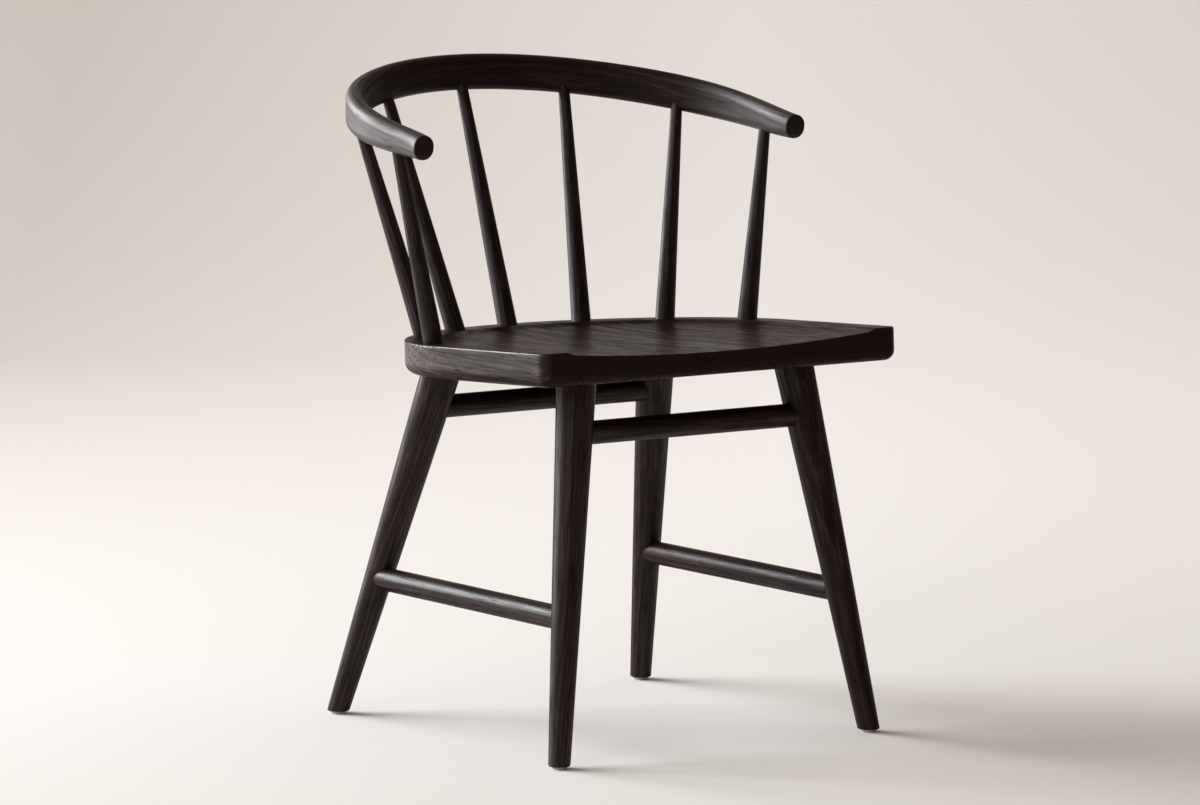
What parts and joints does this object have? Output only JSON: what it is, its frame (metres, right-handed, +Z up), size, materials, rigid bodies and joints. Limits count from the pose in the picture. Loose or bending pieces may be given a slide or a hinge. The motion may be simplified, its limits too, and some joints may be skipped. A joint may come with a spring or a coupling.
{
  "type": "dining chair",
  "caption": "Low-back wooden armchair with a bent arm rail on tapered spindles, a dished seat and splayed tapered legs with stretchers.",
  "frame": {"origin": "on the floor, at the middle of the chair's width and depth", "axes": "+X to the right as seen from the front, +Y to the back of the chair, +Z up"},
  "size_m": [0.5268, 0.5256, 0.7297],
  "materials": {
    "dark_stained_wood": "nearly black stain under a satin clear coat, open grain showing",
    "glide_plastic": "plain moulded plastic",
    "nail_steel": "bare steel wire"
  },
  "bodies": {
    "root": {"seat": "dark_stained_wood", "arm_rail": "dark_stained_wood", "spindle_back": "dark_stained_wood", "spindle_back_left": "dark_stained_wood", "spindle_back_right": "dark_stained_wood", "spindle_side_left": "dark_stained_wood", "spindle_side_right": "dark_stained_wood", "spindle_arm_left": "dark_stained_wood", "spindle_arm_right": "dark_stained_wood", "leg_front_left": "dark_stained_wood", "leg_front_right": "dark_stained_wood", "leg_rear_left": "dark_stained_wood", "leg_rear_right": "dark_stained_wood", "stretcher_front": "dark_stained_wood", "stretcher_back": "dark_stained_wood", "stretcher_left": "dark_stained_wood", "stretcher_right": "dark_stained_wood", "glide_front_left": "glide_plastic", "glide_front_right": "glide_plastic", "glide_rear_left": "glide_plastic", "glide_rear_right": "glide_plastic", "glide_nails": "nail_steel"}
  },
  "joints": []
}
